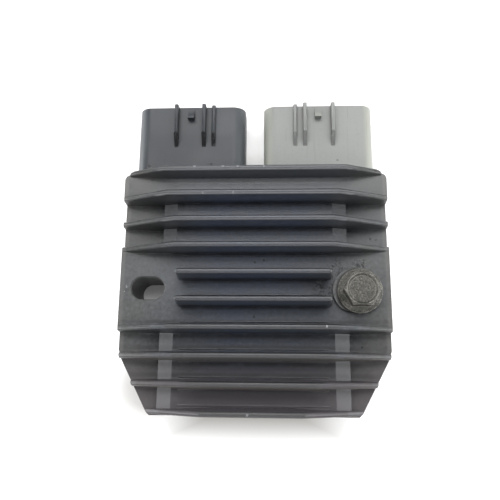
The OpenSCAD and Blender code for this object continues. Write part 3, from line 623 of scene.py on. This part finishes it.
def tinnedBrass():
    # dull tin plating with fine lines along the blade and a few darker specks
    material, tree, shader, place = startMaterial("tinnedBrass", Metallic=1.0, Roughness=bladeSettings["roughness"])
    stretched = addNode(tree, "ShaderNodeMapping", {"Scale": (1.0, 0.03, 1.0)}, {"Vector": place}).outputs[0]
    lines = noise(tree, stretched, 2500.0, 2.0)
    cloud = noise(tree, place, 300.0, 3.0)
    color = mixColor(tree, ramp(tree, cloud, 0.4, 0.65), bladeSettings["color"], "#aeaba0")
    tree.links.new(mixColor(tree, ramp(tree, lines, 0.5, 0.7, 0.0, 0.3), color, "#8f8c83"), shader.inputs["Base Color"])
    tree.links.new(ramp(tree, cloud, 0.3, 0.7, 0.26, 0.42), shader.inputs["Roughness"])
    tree.links.new(addBump(tree, lines, 0.01 * mm, 0.5), shader.inputs["Normal"])
    return material


tin = tinnedBrass()
for side in ("dc", "ac"):
    for number in (1, 2, 3):
        nodeName = side + "_blade_" + str(number)
        blade = roundedCopy(nodeName, side + "Blade" + str(number), bladeSettings["bevel"], 30)
        setMaterial(blade, tin)
print("blades made")

# the bolt and the washer

boltSettings = {
    "bevel": 0.25 * mm,
    "color": "#44433e",
    "dirt": "#24231f",
    "dust": "#575650",
    "fleck": "#8d8b84",
    "threadPitch": 1.25 * mm,
    "roughness": 0.5,
}


def dirtySteel():
    # zinc-plated steel gone dull: olive-grey dust, dark grit in the dish and on the flange, speckled all over
    use = boltSettings
    material, tree, shader, place = startMaterial("dirtyZincPlatedSteel", Metallic=0.25, Roughness=use["roughness"])
    x, y, z = axes(tree, place)
    cloud = noise(tree, place, 260.0, 4.0, 0.6)
    grit = noise(tree, place, 1700.0, 4.0, 0.7)
    color = mixColor(tree, ramp(tree, cloud, 0.35, 0.65), use["color"], use["dust"])
    # dark dirt in patches, thicker on the flange
    patch = ramp(tree, noise(tree, place, 420.0, 3.0, 0.6), 0.47, 0.56)
    flange = ramp(tree, z, floorZ + 23.4 * mm, floorZ + 22.6 * mm, 0.35, 0.95)
    color = mixColor(tree, compute(tree, "MULTIPLY", patch, flange), color, use["dirt"])
    color = mixColor(tree, ramp(tree, grit, 0.5, 0.4, 0.0, 0.9), color, use["dirt"])
    color = mixColor(tree, ramp(tree, grit, 0.58, 0.7, 0.0, 0.8), color, use["fleck"])
    # the edges are worn lighter
    true = addNode(tree, "ShaderNodeNewGeometry").outputs["Normal"]
    soft = addNode(tree, "ShaderNodeBevel", {"Radius": 0.5 * mm}, samples=4).outputs["Normal"]
    bend = addNode(tree, "ShaderNodeVectorMath", links={0: true, 1: soft}, operation="DOT_PRODUCT").outputs["Value"]
    wearAndSheen = compute(tree, "MULTIPLY", ramp(tree, bend, 0.99, 0.93), ramp(tree, cloud, 0.3, 0.5))
    color = mixColor(tree, compute(tree, "MULTIPLY", wearAndSheen, 0.8), color, use["fleck"])
    tree.links.new(color, shader.inputs["Base Color"])
    tree.links.new(ramp(tree, cloud, 0.3, 0.7, use["roughness"] - 0.06, use["roughness"] + 0.2),
                   shader.inputs["Roughness"])
    normal = addBump(tree, grit, 0.2 * mm, 0.9)
    normal = addBump(tree, cloud, 0.25 * mm, 0.7, normal)
    # the thread, on the shank only
    turns = compute(tree, "PINGPONG", compute(tree, "DIVIDE", z, use["threadPitch"]), 0.5)
    shank = ramp(tree, z, floorZ + 19.5 * mm, floorZ + 19 * mm)
    normal = addBump(tree, compute(tree, "MULTIPLY", turns, shank), 0.9 * mm, 1.0, normal)
    tree.links.new(normal, shader.inputs["Normal"])
    return material


def washerSteel():
    material, tree, shader, place = startMaterial("dullSteelWasher", Metallic=0.3, Roughness=0.45)
    cloud = noise(tree, place, 380.0, 4.0, 0.6)
    grit = noise(tree, place, 1500.0, 3.0, 0.7)
    color = mixColor(tree, ramp(tree, cloud, 0.35, 0.65), "#46474a", "#585959")
    color = mixColor(tree, ramp(tree, grit, 0.52, 0.35, 0.0, 0.7), color, "#343330")
    # painted shade on the washer around the bolt's flange
    x, y, z = axes(tree, place)
    fromBolt = compute(tree, "SQRT", compute(tree, "ADD", compute(tree, "POWER", compute(tree, "SUBTRACT", x, boltAxis[0]), 2),
                                             compute(tree, "POWER", compute(tree, "SUBTRACT", y, boltAxis[1]), 2)))
    flangeShade = ramp(tree, fromBolt, flangeRadius + 1.1 * mm, flangeRadius + 0.4 * mm)
    color = mixColor(tree, compute(tree, "MULTIPLY", flangeShade, 0.85), color, "#161513")
    tree.links.new(color, shader.inputs["Base Color"])
    tree.links.new(addBump(tree, grit, 0.05 * mm, 0.6), shader.inputs["Normal"])
    return material


bolt = roundedCopy("mounting_bolt", "flangeBolt", boltSettings["bevel"], 28)
setMaterial(bolt, dirtySteel())
washerRing = roundedCopy("washer", "washerRing", 0.2 * mm, 40)
setMaterial(washerRing, washerSteel())
print("bolt and washer made")

# the potting and what it hides

innerSettings = {
    # node name, or its start: colour, second colour, roughness
    "circuit_board": ("#1d4a30", "#265c3c", 0.5),
    "insulating_sheet": ("#cfcfc6", "#bdbdb2", 0.7),
    "power_device": ("#26262a", "#303034", 0.6),
    "control_chip": ("#212124", "#2b2b2e", 0.55),
    "capacitor": ("#b9bcc0", "#9ea1a5", 0.35),
    "chip_resistors": ("#2a2826", "#3a3734", 0.5),
    "diodes": ("#2b2b2e", "#37373a", 0.55),
}


def pottingResin():
    # black casting resin with a soft gloss, a slightly wavy surface and a few trapped bubbles
    material, tree, shader, place = startMaterial("blackPottingResin", Roughness=0.28)
    wave = noise(tree, place, 60.0, 2.0)
    dust = noise(tree, place, 900.0, 4.0, 0.65)
    bubbles = addNode(tree, "ShaderNodeTexVoronoi", {"Scale": 160.0}, {"Vector": place}).outputs["Distance"]
    bubbleMask = ramp(tree, bubbles, 0.1, 0.06)
    color = mixColor(tree, ramp(tree, dust, 0.5, 0.75, 0.0, 0.5), "#1b1c1e", "#3b3a37")
    tree.links.new(mixColor(tree, bubbleMask, color, "#0e0e0f"), shader.inputs["Base Color"])
    tree.links.new(ramp(tree, dust, 0.4, 0.75, 0.22, 0.5), shader.inputs["Roughness"])
    normal = addBump(tree, wave, 0.6 * mm, 0.5)
    normal = addBump(tree, compute(tree, "MULTIPLY", bubbleMask, -1.0), 0.15 * mm, 0.6, normal)
    tree.links.new(normal, shader.inputs["Normal"])
    return material


def innerMaterial(name, first, second, roughness):
    material, tree, shader, place = startMaterial(name, Roughness=roughness)
    grain = noise(tree, place, 900.0, 3.0)
    tree.links.new(mixColor(tree, ramp(tree, grain, 0.4, 0.6), first, second), shader.inputs["Base Color"])
    tree.links.new(addBump(tree, grain, 0.02 * mm, 0.5), shader.inputs["Normal"])
    return material


setMaterial(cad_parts["potting"], pottingResin())
for start, values in innerSettings.items():
    material = innerMaterial(start + "Surface", *values)
    for name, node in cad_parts.items():
        if name.startswith(start):
            setMaterial(node, material)
print("potting and electronics coloured")
